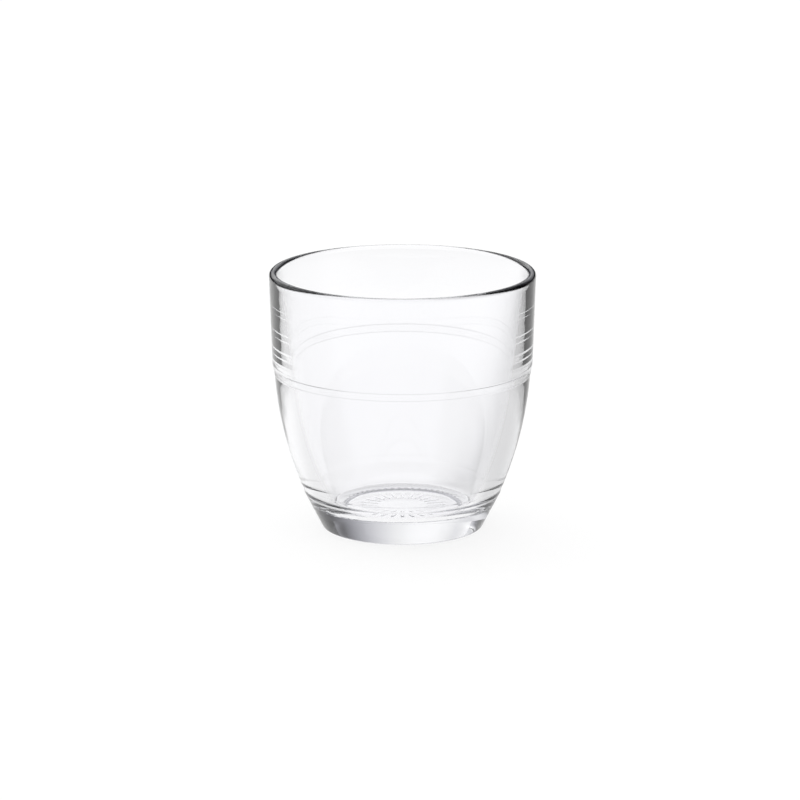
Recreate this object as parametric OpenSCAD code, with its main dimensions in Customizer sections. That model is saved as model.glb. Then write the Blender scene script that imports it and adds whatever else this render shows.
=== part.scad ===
// Short stackable drinking glass in pressed, toughened clear glass.
// The origin is on the table, on the axis of the glass, with +Z up.

/* [Overall] */
// Outside diameter at the rim
rim_diameter = 73; // [60:0.5:90]
// Height from the table to the top of the rim
glass_height = 71.7; // [58:0.1:88]

/* [Band] */
// Height of the straight band, from the top of the rim down to the ledge
band_height = 25.7; // [16:0.1:32]
// How far the outside of the band draws in, measured on the radius
band_draw = 0.8; // [0.3:0.05:2]
// Thickness of the wall at the rim, which is rounded over
rim_wall = 2.3; // [1.6:0.1:3.2]
// Thickness of the wall just above the ledge
band_wall = 4.5; // [3.4:0.05:5.5]

/* [Ledge] */
// How far each of the two steps of the ledge goes in
step_depth = 0.22; // [0.1:0.02:0.5]
// Height that each step takes to swing in
step_height = 0.9; // [0.3:0.05:1.4]
// Height from one step to the next
step_spacing = 2; // [1.6:0.1:4]
// How far the land between the two steps draws in, measured on the radius
land_draw = 0.18; // [0:0.02:0.4]

/* [Bowl] */
// Outside diameter of the bowl where it ends, above the groove
bowl_foot_diameter = 55.8; // [46:0.2:62]
// How far the outside of the bowl bulges out past a straight cone
bowl_bulge = 1.25; // [0.2:0.05:2.4]

/* [Foot] */
// Height from the table to the upper edge of the groove
groove_height = 12.3; // [10.4:0.1:15]
// Width of the groove, up and down
groove_width = 2.1; // [1.6:0.1:3.4]
// Depth of the groove
groove_depth = 0.1; // [0.05:0.05:0.7]
// How much smaller the foot is than the bowl across the groove, on the radius
foot_step = 0.75; // [0.3:0.05:1.4]
// How far the side of the foot draws in on its way to the table, on the radius
foot_draw = 5.2; // [3:0.1:7]
// How far from its corner the foot starts to round into the table
heel_round = 0.9; // [0.6:0.1:2]
// Width of the base's edge, from the corner of the foot in to the hollow
ring_width = 4.7; // [3.8:0.1:6]

/* [Inside] */
// Thickness of the wall low in the bowl, where it turns into the floor
well_wall = 5.4; // [4.4:0.1:7]
// Height of that place above the table
well_height = 12.8; // [11:0.1:14.6]
// Lean of the wall there, in degrees from upright
well_lean = 24; // [16:1:36]
// How far from the wall the nearly flat floor starts to round up into it
floor_round = 2.1; // [1:0.1:3]
// Thickness of the glass from the floor to the table, in the middle
floor_height = 7.6; // [6:0.1:9]
// How far the middle of the floor stands above its edge
floor_crown = 0.1; // [0.05:0.05:0.8]

/* [Underside] */
// Depth of the shallow hollow inside the ring that the glass stands on
hollow_depth = 0.9; // [0.6:0.1:1.6]
// How far from its corner the top of the hollow starts to round into its side
hollow_round = 1.2; // [0.2:0.1:1.2]
// Number of small nicks round the inner edge of the standing ring
nick_count = 54; // [24:6:72]
// Width of a nick
nick_width = 1.1; // [0.6:0.1:1.3]
// Depth of a nick
nick_depth = 0.05; // [0.05:0.05:0.4]
// Length of a nick, along the radius
nick_length = 0.5; // [0.3:0.1:1.8]
// Number of short ribs in the hollow
rib_count = 24; // [12:2:36]
// Diameter of the circle round the middle of the ribs
rib_circle_diameter = 19; // [14:0.5:22]
// Length of a rib
rib_length = 3.4; // [2:0.1:4]
// Width of a rib
rib_width = 0.8; // [0.5:0.1:1.1]
// How far a rib stands out of the hollow
rib_relief = 0.15; // [0.1:0.05:0.5]

/* [Hidden] */

// Straight pieces in each curve of the outline, and sides of each round
curve_steps = 10;
step_curve_steps = 4;
rim_steps = 16;
glass_sides = 180;
nick_sides = 48;
rib_sides = 24;

rim_radius = rim_diameter / 2;
rim_round = rim_wall / 2;
rim_height = glass_height - rim_round;
inner_rim_radius = rim_radius - rim_wall;
ledge_radius = rim_radius - band_draw;
ledge_height = glass_height - band_height;
inner_ledge = [ledge_radius - band_wall, ledge_height];

// The four ends of the two steps, from the top one down
upper_step_top = [ledge_radius, ledge_height];
upper_step_foot = upper_step_top - [step_depth, step_height];
lower_step_top = upper_step_top - [step_depth + land_draw, step_spacing];
bowl_top = lower_step_top - [step_depth, step_height];

bowl_foot = [bowl_foot_diameter / 2, groove_height];
bowl_middle = (bowl_foot + bowl_top) / 2 + [2 * bowl_bulge, 0];
foot_top = bowl_foot - [foot_step, groove_width];
groove_middle = (foot_top + bowl_foot) / 2 - [2 * groove_depth, 0];
foot_corner = [foot_top.x - foot_draw, 0];

hollow_radius = foot_corner.x - ring_width;
hollow_edge = [hollow_radius, 0];
hollow_corner = [hollow_radius - hollow_depth, hollow_depth];
hollow_middle = [0, hollow_depth];

// Slopes of the inner wall: radius lost for each unit of height
band_slope = (inner_rim_radius - inner_ledge.x) / (rim_height - ledge_height);
well_slope = tan(well_lean);

// Where the straight stretches of the inner wall and the floor would meet
well = [bowl_foot.x - well_wall, well_height];
bend_rise = (inner_ledge.x - well.x - band_slope * (ledge_height - well.y)) / (well_slope - band_slope);
bend = well + [well_slope * bend_rise, bend_rise];
floor_edge_height = floor_height - floor_crown;
floor_corner = [well.x - well_slope * (well.y - floor_edge_height), floor_edge_height];
floor_edge = floor_corner - [floor_round, 0];

// Radius of the round bar that cuts a nick of the given width and depth
nick_bar_radius = (pow(nick_width / 2, 2) + pow(nick_depth, 2)) / (2 * nick_depth);
nick_bar_length = hollow_depth + nick_length;

// A rib is sunk into the glass by as much as it stands out
rib_height = 2 * rib_relief;
rib_half_length = (rib_length - rib_width) / 2;

// Point at a given distance from one point on the line to another
function toward(from, to, reach) = from + (to - from) * reach / norm(to - from);

// Curve that goes on from a, which is already drawn, to c, along the lines to b
function curve(a, b, c, steps = curve_steps) = [
    for (i = [1 : steps])
        let (t = i / steps)
        (1 - t) * (1 - t) * a + 2 * t * (1 - t) * b + t * t * c
];

// Rounds the corner b between the lines to a and to c, starting at reach from it
function rounded(a, b, c, reach) = concat(
    [toward(b, a, reach)],
    curve(toward(b, a, reach), b, toward(b, c, reach))
);

// Curve that goes on from a, upright at both ends, and swings over to b
function swing(a, b) =
    let (middle = (a + b) / 2, lead = (b.y - a.y) / 4)
    concat(
        curve(a, a + [0, lead], middle, step_curve_steps),
        curve(middle, b - [0, lead], b, step_curve_steps)
    );

// Half circle over the top of the rim, from the outside to the inside
function rim_arc() = [
    for (i = [0 : rim_steps])
        let (angle = 180 * i / rim_steps)
        [rim_radius - rim_round + rim_round * cos(angle), rim_height + rim_round * sin(angle)]
];

// Outside, from the axis under the glass to the ledge
function outside() = concat(
    [hollow_middle],
    rounded(hollow_middle, hollow_corner, hollow_edge, hollow_round),
    [hollow_edge],
    rounded(hollow_edge, foot_corner, foot_top, heel_round),
    [foot_top],
    curve(foot_top, groove_middle, bowl_foot),
    curve(bowl_foot, bowl_middle, bowl_top),
    swing(bowl_top, lower_step_top),
    [upper_step_foot],
    swing(upper_step_foot, upper_step_top)
);

// Inside, from the ledge down to the middle of the floor
function inside() = concat(
    [inner_ledge],
    curve(inner_ledge, bend, well),
    curve(well, floor_corner, floor_edge),
    curve(floor_edge, [floor_edge.x / 2, floor_height], [0, floor_height])
);

// The plain glass, before the ribs and nicks of its underside
module body() {
    rotate_extrude($fn = glass_sides) polygon(concat(outside(), rim_arc(), inside()));
}

// One rib with round ends, along the radius, reaching up into the glass
module rib() {
    translate([-rib_half_length, -rib_width / 2, 0])
        cube([2 * rib_half_length, rib_width, rib_height]);
    for (end = [-rib_half_length, rib_half_length])
        translate([end, 0, 0]) cylinder(d = rib_width, h = rib_height, $fn = rib_sides);
}

module ribs() {
    for (i = [0 : rib_count - 1])
        rotate(360 * i / rib_count)
            translate([rib_circle_diameter / 2, 0, hollow_depth - rib_relief]) rib();
}

// Round bars that cut the nicks, each from the hollow out along the radius
module nick_bars() {
    for (i = [0 : nick_count - 1])
        rotate(360 * i / nick_count)
            translate([hollow_corner.x, 0, nick_depth - nick_bar_radius])
                rotate([0, 90, 0]) cylinder(r = nick_bar_radius, h = nick_bar_length, $fn = nick_sides);
}

module tumbler() {
    color("lightcyan", 0.4)
    difference() {
        union() {
            body();
            ribs();
        }
        nick_bars();
    }
}

tumbler();
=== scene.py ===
import math
import bpy
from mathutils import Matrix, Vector


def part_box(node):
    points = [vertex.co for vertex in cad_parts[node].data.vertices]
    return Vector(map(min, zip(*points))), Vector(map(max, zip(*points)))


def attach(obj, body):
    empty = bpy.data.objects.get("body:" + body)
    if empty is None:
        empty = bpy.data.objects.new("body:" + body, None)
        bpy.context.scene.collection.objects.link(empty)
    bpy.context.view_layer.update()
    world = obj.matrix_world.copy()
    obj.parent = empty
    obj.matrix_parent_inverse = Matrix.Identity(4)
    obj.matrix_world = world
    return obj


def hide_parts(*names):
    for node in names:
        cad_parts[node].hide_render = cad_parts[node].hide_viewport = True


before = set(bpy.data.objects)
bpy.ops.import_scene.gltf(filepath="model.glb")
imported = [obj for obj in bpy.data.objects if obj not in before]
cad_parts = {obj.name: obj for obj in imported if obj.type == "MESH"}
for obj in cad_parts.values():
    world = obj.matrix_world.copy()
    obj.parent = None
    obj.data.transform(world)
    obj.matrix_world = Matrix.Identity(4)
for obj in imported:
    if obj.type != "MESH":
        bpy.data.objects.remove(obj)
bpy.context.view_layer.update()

# Short stackable drinking glass in clear pressed glass, on a pale studio floor.
# Metres, +Z up. The glass stands on z = 0 and its axis is x = y = 0.

NODE = "tumbler"
MM = 0.001

# Overall size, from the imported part
box_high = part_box(NODE)[1]
RIM_RADIUS = box_high.x
GLASS_HEIGHT = box_high.z

# Band
BAND_HEIGHT = 25.7 * MM
BAND_DRAW = 0.8 * MM
RIM_WALL = 2.3 * MM
BAND_WALL = 4.5 * MM

# Ledge of two soft steps
STEP_DEPTH = 0.22 * MM
STEP_HEIGHT = 0.9 * MM
STEP_SPACING = 2 * MM
LAND_DRAW = 0.18 * MM

# Bowl
BOWL_FOOT_RADIUS = 27.9 * MM
BOWL_BULGE = 1.25 * MM

# Groove and foot
GROOVE_HEIGHT = 12.3 * MM
GROOVE_WIDTH = 2.1 * MM
GROOVE_DEPTH = 0.1 * MM
FOOT_STEP = 0.75 * MM
FOOT_DRAW = 5.2 * MM
HEEL_ROUND = 0.9 * MM
RING_WIDTH = 4.7 * MM

# Inside
WELL_WALL = 5.4 * MM
WELL_HEIGHT = 12.8 * MM
WELL_LEAN = math.radians(24)
FLOOR_ROUND = 2.1 * MM
FLOOR_HEIGHT = 7.6 * MM
FLOOR_CROWN = 0.1 * MM

# Underside
HOLLOW_DEPTH = 0.9 * MM
HOLLOW_ROUND = 1.2 * MM
NICK_COUNT = 54
NICK_WIDTH = 1.1 * MM
NICK_DEPTH = 0.05 * MM
NICK_LENGTH = 0.5 * MM
RIB_COUNT = 24
RIB_CIRCLE_RADIUS = 9.5 * MM
RIB_LENGTH = 3.4 * MM
RIB_WIDTH = 0.8 * MM
RIB_RELIEF = 0.15 * MM
RIB_EDGE = 0.5 * MM

# Mesh: points round the walls and round the underside, which is twice as fine for its ribs and nicks
WALL_SIDES = 324
UNDER_SIDES = 2 * WALL_SIDES
CURVE_STEPS = 24
STEP_CURVE_STEPS = 12
RIM_STEPS = 28
# Longest stretch between two points of each outline, and how close to a corner its extra points lie
WALL_STRETCH = 1.7 * MM
UNDER_STRETCH = 1 * MM
CORNER_REACH = 0.05 * MM
CORNER_ANGLE = math.radians(4)

# Waves that the press leaves in the walls, always inwards from the true surface
WAVE_DEPTH = 0.015 * MM
WAVE_FADE = 3 * MM
WAVES = [
    # waves round the glass, turn for each millimetre of height, start, strength
    (5, 0.21, 0, 1),
    (8, -0.34, 1.1, 0.8),
    (3, 0.95, 2.3, 0.6),
    (13, 0.62, 0.4, 0.4),
]

# Glass. What it absorbs over a metre is the density times what the colour lacks.
GLASS_COLOUR = (0.99, 0.99, 1, 1)
GLASS_IOR = 1.52
ABSORPTION_COLOUR = (0.64, 0.65, 0.67, 1)
ABSORPTION_DENSITY = 8
# Skin of the pressed glass: waves of a few millimetres, far too shallow to feel,
# and a polish that varies a little
SKIN_SCALE = 240
SKIN_DETAIL = 2
SKIN_DEPTH = 0.004 * MM
POLISH_BEST = 0
POLISH_WORST = 0.012

# Studio light that the glass shows, in degrees. Azimuth 0 is behind the glass and 90 is on its right.
# Width and height are measured where a panel has half its strength, and its sides fade over the edge.
PANELS = [
    # name, azimuth, elevation, width, height, edge, strength
    ("backdrop", -12, 20, 60, 20, 56, 1.15),
    ("upper_left", -42, 42, 110, 26, 30, 0.7),
    ("left_fill", -62, 20, 40, 34, 24, 0.6),
    ("overhead", 0, 75, 360, 38, 20, 0.63),
    ("camera_side", 167, 10, 125, 40, 20, 0.58),
    ("right_high", 35, 44, 50, 24, 20, 0.36),
    ("right_fill", 45, 22, 50, 24, 24, 0.05),
]
PANEL_TOP_EDGE = 10
ROOM_LEVEL = 0.02
ROOM_TINT = (0.97, 0.97, 1.1, 1)
WHITE = (1, 1, 1, 1)
# Light on matt surfaces: a level white surface gets about 1 from both together
MATT_PANELS = 1.6
MATT_FILL = 0.36

# Floor, a large disc
FLOOR_RADIUS = 3
FLOOR_SIDES = 96
FLOOR_GAP = 0.05 * MM
FLOOR_WHITE = (0.95, 0.95, 0.95, 1)
FLOOR_GLOW = 1.05
# Share of the floor that is lit like any matt surface and so takes a shadow, straight and through the glass
FLOOR_SHADE = 0.2
FLOOR_SHADE_THROUGH = 0.05
# Painted shade on the floor, seen only through the glass: its glow is a little darker at both sides and in
# front, and darker far away
FLOOR_PAINTED_SHADE_SIDES = [
    # name, azimuth, width, edge, level of the painted shade
    ("right", 60, 68, 30, 0.7),
    ("left", -94, 68, 30, 0.85),
    ("front", 180, 90, 40, 0.88),
]
FAR_START = 0.2
FAR_END = 0.5
FAR_PAINTED_SHADE_LEVEL = 0.8
# The floor that the glass stands on glows alike all over, with none of the painted shade
UNDER_RADIUS = 24 * MM
UNDER_EDGE = 8 * MM
UNDER_LEVEL = 1

# Camera. Its lens and its aim were fitted to the photo, which has the glass a little off the middle.
CAMERA_DISTANCE = 1.3
CAMERA_ELEVATION = math.radians(13.69)
CAMERA_LENS = 212.9
CAMERA_SENSOR = 36
FRAME_WIDTH_PX = 800
AXIS_OFFSET_PX = 2.5
TARGET_HEIGHT = 35.41 * MM
# With more bounces, the light trapped in the walls and in the rim looks too pale
LIGHT_BOUNCES = 14


def toward(start, end, reach):
    """Point at a given distance from start on the line to end."""
    return start + (end - start).normalized() * reach


def curve(a, b, c, steps=CURVE_STEPS):
    """Curve that goes on from a, which is already drawn, to c, along the lines to b."""
    points = []
    for i in range(1, steps + 1):
        t = i / steps
        points.append((1 - t) ** 2 * a + 2 * t * (1 - t) * b + t * t * c)
    return points


def rounded(a, b, c, reach):
    """Rounds the corner b between the lines to a and to c, starting at reach from it."""
    start = toward(b, a, reach)
    return [start] + curve(start, b, toward(b, c, reach), STEP_CURVE_STEPS)


def swing(a, b):
    """Curve that goes on from a, upright at both ends, and swings over to b."""
    middle = (a + b) / 2
    lead = Vector((0, (b.y - a.y) / 4))
    return curve(a, a + lead, middle, STEP_CURVE_STEPS) + curve(middle, b - lead, b, STEP_CURVE_STEPS)


# Points of the outline, as radius and height
ledge_radius = RIM_RADIUS - BAND_DRAW
ledge_height = GLASS_HEIGHT - BAND_HEIGHT
rim_round = RIM_WALL / 2
rim_height = GLASS_HEIGHT - rim_round
inner_rim_radius = RIM_RADIUS - RIM_WALL
inner_ledge = Vector((ledge_radius - BAND_WALL, ledge_height))

upper_step_top = Vector((ledge_radius, ledge_height))
upper_step_foot = upper_step_top - Vector((STEP_DEPTH, STEP_HEIGHT))
lower_step_top = upper_step_top - Vector((STEP_DEPTH + LAND_DRAW, STEP_SPACING))
bowl_top = lower_step_top - Vector((STEP_DEPTH, STEP_HEIGHT))

bowl_foot = Vector((BOWL_FOOT_RADIUS, GROOVE_HEIGHT))
bowl_middle = (bowl_foot + bowl_top) / 2 + Vector((2 * BOWL_BULGE, 0))
foot_top = bowl_foot - Vector((FOOT_STEP, GROOVE_WIDTH))
groove_middle = (foot_top + bowl_foot) / 2 - Vector((2 * GROOVE_DEPTH, 0))
foot_corner = Vector((foot_top.x - FOOT_DRAW, 0))

hollow_radius = foot_corner.x - RING_WIDTH
hollow_edge = Vector((hollow_radius, 0))
hollow_corner = Vector((hollow_radius - HOLLOW_DEPTH, HOLLOW_DEPTH))
hollow_middle = Vector((0, HOLLOW_DEPTH))
ring_middle = (hollow_edge + foot_corner) / 2

band_slope = (inner_rim_radius - inner_ledge.x) / (rim_height - ledge_height)
well_slope = math.tan(WELL_LEAN)
well = Vector((bowl_foot.x - WELL_WALL, WELL_HEIGHT))
bend_rise = (inner_ledge.x - well.x - band_slope * (ledge_height - well.y)) / (well_slope - band_slope)
bend = well + Vector((well_slope * bend_rise, bend_rise))
floor_edge_height = FLOOR_HEIGHT - FLOOR_CROWN
floor_corner = Vector((well.x - well_slope * (well.y - floor_edge_height), floor_edge_height))
floor_edge = floor_corner - Vector((FLOOR_ROUND, 0))
floor_middle = Vector((0, FLOOR_HEIGHT))

nick_bar_radius = ((NICK_WIDTH / 2) ** 2 + NICK_DEPTH ** 2) / (2 * NICK_DEPTH)
nick_end = hollow_corner.x + HOLLOW_DEPTH + NICK_LENGTH
nick_stop = Vector((nick_end, 0))


def rim_arc():
    """Half circle over the top of the rim, from the outside to the inside."""
    points = []
    for i in range(RIM_STEPS + 1):
        angle = math.pi * i / RIM_STEPS
        points.append(Vector((
            RIM_RADIUS - rim_round + rim_round * math.cos(angle),
            rim_height + rim_round * math.sin(angle),
        )))
    return points


def under_outline():
    """From the axis under the glass to the middle of the ring that it stands on."""
    points = [hollow_middle]
    points += rounded(hollow_middle, hollow_corner, hollow_edge, HOLLOW_ROUND)
    points += [hollow_edge, (hollow_edge + nick_stop) / 2, nick_stop, ring_middle]
    return points


def wall_outline():
    """From the middle of the standing ring, up the outside, over the rim and down to the floor's middle."""
    points = [ring_middle]
    points += rounded(hollow_edge, foot_corner, foot_top, HEEL_ROUND)
    points += [foot_top]
    points += curve(foot_top, groove_middle, bowl_foot, STEP_CURVE_STEPS)
    points += curve(bowl_foot, bowl_middle, bowl_top)
    points += swing(bowl_top, lower_step_top)
    points += [upper_step_foot]
    points += swing(upper_step_foot, upper_step_top)
    points += rim_arc()
    points += [inner_ledge]
    points += curve(inner_ledge, bend, well)
    points += curve(well, floor_corner, floor_edge, STEP_CURVE_STEPS)
    points += curve(floor_edge, Vector((floor_edge.x / 2, FLOOR_HEIGHT)), floor_middle, STEP_CURVE_STEPS)
    return points


def turn_at(before, corner, after):
    """Angle by which the outline turns at a corner."""
    return (corner - before).angle(after - corner)


def refined(points, longest):
    """Adds points close to each sharp corner, and along each long stretch."""
    sharp = [False] * len(points)
    for i in range(1, len(points) - 1):
        sharp[i] = turn_at(points[i - 1], points[i], points[i + 1]) > CORNER_ANGLE
    result = [points[0]]
    for i in range(len(points) - 1):
        a, b = points[i], points[i + 1]
        length = (b - a).length
        reaches = []
        if length > 4 * CORNER_REACH:
            if sharp[i]:
                reaches.append(CORNER_REACH)
            count = math.ceil(length / longest)
            reaches += [length * k / count for k in range(1, count)]
            if sharp[i + 1]:
                reaches.append(length - CORNER_REACH)
        result += [toward(a, b, reach) for reach in reaches] + [b]
    return result


def soft_step(low, high, value):
    """0 below low, 1 above high, and a smooth rise between them."""
    t = min(max((value - low) / (high - low), 0), 1)
    return t * t * (3 - 2 * t)


def across_nearest(radius, angle, count):
    """Distance from the middle line of the nearest of count equal sectors, measured round the axis."""
    sector = 2 * math.pi / count
    return radius * abs((angle + sector / 2) % sector - sector / 2)


def rib_drop(radius, angle):
    """How far a soft-edged rib with round ends stands out of the hollow at a place."""
    across = across_nearest(radius, angle, RIB_COUNT)
    half_length = (RIB_LENGTH - RIB_WIDTH) / 2
    along = max(abs(radius - RIB_CIRCLE_RADIUS) - half_length, 0)
    inside = RIB_WIDTH / 2 - math.hypot(across, along)
    return RIB_RELIEF * soft_step(-RIB_EDGE / 2, RIB_EDGE / 2, inside)


def nick_rise(radius, angle):
    """Height of the round-topped nick in the standing ring at a place, below 0 outside it."""
    across = across_nearest(radius, angle, NICK_COUNT)
    if radius > nick_end or across > nick_bar_radius:
        return 0
    top = NICK_DEPTH - nick_bar_radius + math.sqrt(nick_bar_radius ** 2 - across ** 2)
    return max(top, 0) * soft_step(0, NICK_WIDTH / 2, nick_end - radius)


def under_place(point, angle):
    """Place on the underside, with its ribs and nicks."""
    radius, height = point
    height -= rib_drop(radius, angle)
    if radius > hollow_corner.x:
        height = max(height, nick_rise(radius, angle))
    return Vector((radius * math.cos(angle), radius * math.sin(angle), height))


def press_waves(angle, height):
    """Uneven waves between 0 and 1 over the walls."""
    swing_in = 0
    most = 0
    for count, turn, start, strength in WAVES:
        swing_in += strength * math.sin(count * angle + turn * height / MM + start)
        most += strength
    return (1 + swing_in / most) / 2


def wall_place(point, angle):
    """Place on the walls, with the waves of the press fading out at the rim and at the foot."""
    radius, height = point
    fade = soft_step(0, WAVE_FADE, height) * soft_step(0, WAVE_FADE, rim_height - height)
    radius -= WAVE_DEPTH * fade * press_waves(angle, height) * soft_step(0, WAVE_FADE, radius)
    return Vector((radius * math.cos(angle), radius * math.sin(angle), height))


def add_rings(places, faces, outline, sides, place):
    """Adds a ring of points for each point of the outline, and the faces between. Returns the rings."""
    rings = []
    for point in outline:
        start = len(places)
        if point.x < CORNER_REACH:
            places.append(Vector((0, 0, point.y)))
            rings.append([start] * sides)
            continue
        for k in range(sides):
            places.append(place(point, 2 * math.pi * k / sides))
        rings.append(list(range(start, start + sides)))
    for lower, upper in zip(rings, rings[1:]):
        for k in range(sides):
            after = (k + 1) % sides
            corners = [lower[k], lower[after], upper[after], upper[k]]
            faces.append(tuple(dict.fromkeys(corners)))
    return rings


def make_glass():
    """The whole glass as one closed mesh. Underside and walls join in the middle of the standing ring."""
    places = []
    faces = []
    under = add_rings(places, faces, refined(under_outline(), UNDER_STRETCH)[:-1], UNDER_SIDES, under_place)
    walls = add_rings(places, faces, refined(wall_outline(), WALL_STRETCH), WALL_SIDES, wall_place)
    inner, outer = under[-1], walls[0]
    for k in range(WALL_SIDES):
        after = (k + 1) % WALL_SIDES
        faces.append((
            inner[2 * k],
            inner[2 * k + 1],
            inner[(2 * k + 2) % UNDER_SIDES],
            outer[after],
            outer[k],
        ))
    mesh = bpy.data.meshes.new("clear_tumbler")
    mesh.from_pydata(places, [], faces)
    mesh.validate()
    for polygon in mesh.polygons:
        polygon.use_smooth = True
    glass = bpy.data.objects.new("clear_tumbler", mesh)
    bpy.context.scene.collection.objects.link(glass)
    return glass


def glass_material():
    """Clear polished glass with a faintly uneven skin. It takes a little light from long paths."""
    material = bpy.data.materials.new("clear_glass")
    material.use_nodes = True
    tree = material.node_tree
    shader = tree.nodes["Principled BSDF"]
    shader.inputs["Base Color"].default_value = GLASS_COLOUR
    shader.inputs["IOR"].default_value = GLASS_IOR
    shader.inputs["Transmission Weight"].default_value = 1
    place = tree.nodes.new("ShaderNodeTexCoord").outputs["Object"]
    skin = tree.nodes.new("ShaderNodeTexNoise")
    skin.inputs["Scale"].default_value = SKIN_SCALE
    skin.inputs["Detail"].default_value = SKIN_DETAIL
    tree.links.new(place, skin.inputs["Vector"])
    bump = tree.nodes.new("ShaderNodeBump")
    bump.inputs["Distance"].default_value = SKIN_DEPTH
    tree.links.new(skin.outputs["Fac"], bump.inputs["Height"])
    tree.links.new(bump.outputs["Normal"], shader.inputs["Normal"])
    polish = tree.nodes.new("ShaderNodeMapRange")
    polish.inputs["To Min"].default_value = POLISH_BEST
    polish.inputs["To Max"].default_value = POLISH_WORST
    tree.links.new(skin.outputs["Fac"], polish.inputs["Value"])
    tree.links.new(polish.outputs["Result"], shader.inputs["Roughness"])
    absorption = tree.nodes.new("ShaderNodeVolumeAbsorption")
    absorption.inputs["Color"].default_value = ABSORPTION_COLOUR
    absorption.inputs["Density"].default_value = ABSORPTION_DENSITY
    tree.links.new(absorption.outputs[0], tree.nodes["Material Output"].inputs["Volume"])
    return material


def math_node(tree, operation, *values):
    """Adds a math node. Each value is a number or the output that feeds it."""
    node = tree.nodes.new("ShaderNodeMath")
    node.operation = operation
    for socket, value in zip(node.inputs, values):
        if isinstance(value, bpy.types.NodeSocket):
            tree.links.new(value, socket)
        else:
            socket.default_value = value
    return node.outputs[0]


def window(tree, value, half_width, edge):
    """1 while value is within half_width of 0, and 0 outside, with a soft edge."""
    node = tree.nodes.new("ShaderNodeMapRange")
    node.interpolation_type = "SMOOTHSTEP"
    tree.links.new(math_node(tree, "ABSOLUTE", value), node.inputs["Value"])
    node.inputs["From Min"].default_value = half_width + edge / 2
    node.inputs["From Max"].default_value = half_width - edge / 2
    return node.outputs["Result"]


def mix_colour(tree, factor, low, high):
    """Mixes two colours. Each is a colour or the output that feeds it."""
    node = tree.nodes.new("ShaderNodeMix")
    node.data_type = "RGBA"
    tree.links.new(factor, node.inputs["Factor"])
    for name, value in (("A", low), ("B", high)):
        socket = next(s for s in node.inputs if s.name == name and s.type == "RGBA")
        if isinstance(value, bpy.types.NodeSocket):
            tree.links.new(value, socket)
        else:
            socket.default_value = value
    return next(s for s in node.outputs if s.type == "RGBA")


def mix_value(tree, factor, low, high):
    """Mixes two numbers. Each is a number or the output that feeds it."""
    return math_node(tree, "MULTIPLY_ADD", factor, math_node(tree, "SUBTRACT", high, low), low)


def panel_light(tree, direction):
    """Sum of the panels in a direction."""
    split = tree.nodes.new("ShaderNodeSeparateXYZ")
    tree.links.new(direction, split.inputs[0])
    x, y, z = split.outputs
    azimuth = math_node(tree, "ARCTAN2", x, y)
    elevation = math_node(tree, "ARCSINE", z)
    light = 0
    for _, centre, height, width, tall, edge, strength in PANELS:
        turn = math_node(tree, "SUBTRACT", azimuth, math.radians(centre))
        turn = math_node(tree, "WRAP", turn, math.pi, -math.pi)
        rise = math_node(tree, "SUBTRACT", elevation, math.radians(height))
        across = window(tree, turn, math.radians(width / 2), math.radians(edge))
        up = window(tree, rise, math.radians(tall / 2), math.radians(PANEL_TOP_EDGE))
        lit = math_node(tree, "MULTIPLY", across, up)
        light = math_node(tree, "MULTIPLY_ADD", lit, strength, light)
    return light


def studio_world():
    """Soft panels round the glass in a dim room. The camera itself sees plain white."""
    world = bpy.data.worlds.new("studio")
    world.use_nodes = True
    tree = world.node_tree
    tree.nodes.clear()
    light = panel_light(tree, tree.nodes.new("ShaderNodeTexCoord").outputs["Generated"])
    rays = tree.nodes.new("ShaderNodeLightPath")
    strength = math_node(tree, "MAXIMUM", light, ROOM_LEVEL)
    matt = math_node(tree, "MULTIPLY_ADD", light, MATT_PANELS, MATT_FILL)
    strength = mix_value(tree, rays.outputs["Is Diffuse Ray"], strength, matt)
    strength = mix_value(tree, rays.outputs["Is Camera Ray"], strength, 1)
    colour = mix_colour(tree, light, ROOM_TINT, WHITE)
    colour = mix_colour(tree, rays.outputs["Is Camera Ray"], colour, WHITE)
    colour = mix_colour(tree, rays.outputs["Is Diffuse Ray"], colour, WHITE)
    background = tree.nodes.new("ShaderNodeBackground")
    tree.links.new(colour, background.inputs["Color"])
    tree.links.new(strength, background.inputs["Strength"])
    output = tree.nodes.new("ShaderNodeOutputWorld")
    tree.links.new(background.outputs[0], output.inputs["Surface"])
    # Each ray looks the light up for itself, so that matt surfaces get their own level
    world.cycles.sampling_method = "NONE"
    bpy.context.scene.world = world


def floor_glow_with_painted_shade(tree):
    """Strength of the floor's own light: plain for the camera, and with painted shade through the glass,
    darker at the sides, in front and far away.
    """
    place = tree.nodes.new("ShaderNodeTexCoord").outputs["Object"]
    split = tree.nodes.new("ShaderNodeSeparateXYZ")
    tree.links.new(place, split.inputs[0])
    azimuth = math_node(tree, "ARCTAN2", split.outputs["X"], split.outputs["Y"])
    sides = 1
    # Painted shade: the floor's glow is darker at the sides and in front, for rays through the glass
    for _, centre, width, edge, painted_shade_level in FLOOR_PAINTED_SHADE_SIDES:
        turn = math_node(tree, "SUBTRACT", azimuth, math.radians(centre))
        turn = math_node(tree, "WRAP", turn, math.pi, -math.pi)
        side = window(tree, turn, math.radians(width / 2), math.radians(edge))
        sides = math_node(tree, "MULTIPLY", sides, mix_value(tree, side, 1, painted_shade_level))
    distance = tree.nodes.new("ShaderNodeVectorMath")
    distance.operation = "LENGTH"
    tree.links.new(place, distance.inputs[0])
    # Painted shade: the floor's glow falls off far away
    near = window(tree, distance.outputs["Value"], (FAR_START + FAR_END) / 2, FAR_END - FAR_START)
    near = mix_value(tree, near, FAR_PAINTED_SHADE_LEVEL, 1)
    # Under the glass the floor keeps its full glow, without the painted shade
    under = window(tree, distance.outputs["Value"], UNDER_RADIUS, UNDER_EDGE)
    through = mix_value(tree, under, math_node(tree, "MULTIPLY", sides, near), UNDER_LEVEL)
    rays = tree.nodes.new("ShaderNodeLightPath")
    level = mix_value(tree, rays.outputs["Is Camera Ray"], through, 1)
    return math_node(tree, "MULTIPLY", level, FLOOR_GLOW)


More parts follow.
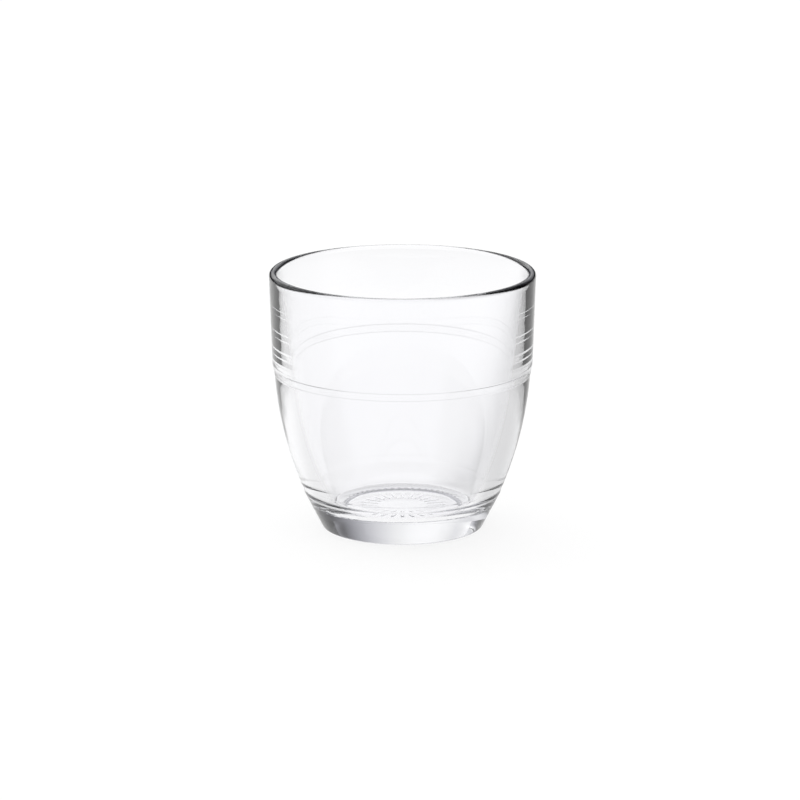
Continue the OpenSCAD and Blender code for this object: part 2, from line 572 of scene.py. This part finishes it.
def floor_material():
    """White floor that glows for the most part and keeps a faint shadow."""
    material = bpy.data.materials.new("pale_floor")
    material.use_nodes = True
    tree = material.node_tree
    tree.nodes.clear()
    glow = tree.nodes.new("ShaderNodeEmission")
    tree.links.new(floor_glow_with_painted_shade(tree), glow.inputs["Strength"])
    matt = tree.nodes.new("ShaderNodeBsdfDiffuse")
    matt.inputs["Color"].default_value = FLOOR_WHITE
    mix = tree.nodes.new("ShaderNodeMixShader")
    rays = tree.nodes.new("ShaderNodeLightPath")
    shade = mix_value(tree, rays.outputs["Is Camera Ray"], FLOOR_SHADE_THROUGH, FLOOR_SHADE)
    tree.links.new(shade, mix.inputs[0])
    tree.links.new(glow.outputs[0], mix.inputs[1])
    tree.links.new(matt.outputs[0], mix.inputs[2])
    output = tree.nodes.new("ShaderNodeOutputMaterial")
    tree.links.new(mix.outputs[0], output.inputs["Surface"])
    return material


def make_floor():
    """Large round floor, a hair below the glass."""
    bpy.ops.mesh.primitive_circle_add(
        vertices=FLOOR_SIDES, radius=FLOOR_RADIUS, fill_type="NGON", location=(0, 0, -FLOOR_GAP)
    )
    floor = bpy.context.object
    floor.name = "pale_floor"
    floor.data.materials.append(floor_material())


def make_camera():
    """Long lens, a little above the rim."""
    camera = bpy.data.objects.new("camera", bpy.data.cameras.new("camera"))
    bpy.context.scene.collection.objects.link(camera)
    back = Vector((0, -math.cos(CAMERA_ELEVATION), math.sin(CAMERA_ELEVATION)))
    camera.location = Vector((0, 0, TARGET_HEIGHT)) + back * CAMERA_DISTANCE
    camera.rotation_euler = (-back).to_track_quat("-Z", "Y").to_euler()
    camera.data.sensor_width = CAMERA_SENSOR
    camera.data.lens = CAMERA_LENS
    camera.data.shift_x = -AXIS_OFFSET_PX / FRAME_WIDTH_PX
    bpy.context.scene.camera = camera


def set_view():
    """Plain colours, and enough bounces for light that stays trapped in the walls."""
    scene = bpy.context.scene
    scene.view_settings.view_transform = "Standard"
    scene.cycles.max_bounces = LIGHT_BOUNCES
    scene.cycles.transmission_bounces = LIGHT_BOUNCES
    scene.cycles.glossy_bounces = LIGHT_BOUNCES
    scene.cycles.use_denoising = True


make_camera()
set_view()
studio_world()
make_floor()
tumbler = make_glass()
tumbler.data.materials.append(glass_material())
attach(tumbler, "root")
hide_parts(NODE)
